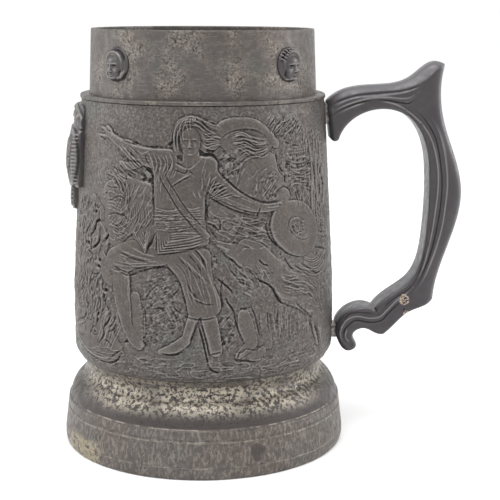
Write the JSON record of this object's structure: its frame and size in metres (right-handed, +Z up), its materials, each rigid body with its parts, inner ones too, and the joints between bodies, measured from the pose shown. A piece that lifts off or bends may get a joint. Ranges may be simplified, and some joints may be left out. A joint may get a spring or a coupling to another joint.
{
  "type": "pewter tankard",
  "caption": "Tapered pewter relief tankard on a stepped round foot, with a scrolled side handle, a smooth collar with head bosses and a medallion.",
  "frame": {"origin": "centre of the round face that the foot stands on", "axes": "+Z up along the body's axis, +X towards the handle, the relief's main figure faces -Y"},
  "size_m": [0.1553, 0.1102, 0.16],
  "materials": {
    "collar_pewter": "satin, worn pewter with pale speckled wear",
    "lining_pewter": "satin, spun pewter",
    "relief_pewter": "matt cast pewter, darkened in the recesses",
    "foot_pewter": "satin, spun pewter with pale speckled wear",
    "handle_pewter": "smooth dark cast pewter",
    "medallion_pewter": "dark cast pewter",
    "head_pewter": "dark cast pewter",
    "solder": "bright satin solder"
  },
  "bodies": {
    "root": {"inner_cup": "collar_pewter", "cup_floor": "lining_pewter", "shoulder_ring": "collar_pewter", "relief_front": "relief_pewter", "relief_back": "relief_pewter", "foot": "foot_pewter", "foot_ring": "foot_pewter", "base_plate": "lining_pewter", "handle": "handle_pewter", "handle_upper_pad": "solder", "handle_lower_pad": "solder", "medallion": "medallion_pewter", "head_front_left": "head_pewter", "head_front_right": "head_pewter", "head_back_left": "head_pewter", "head_back_right": "head_pewter"}
  },
  "joints": []
}
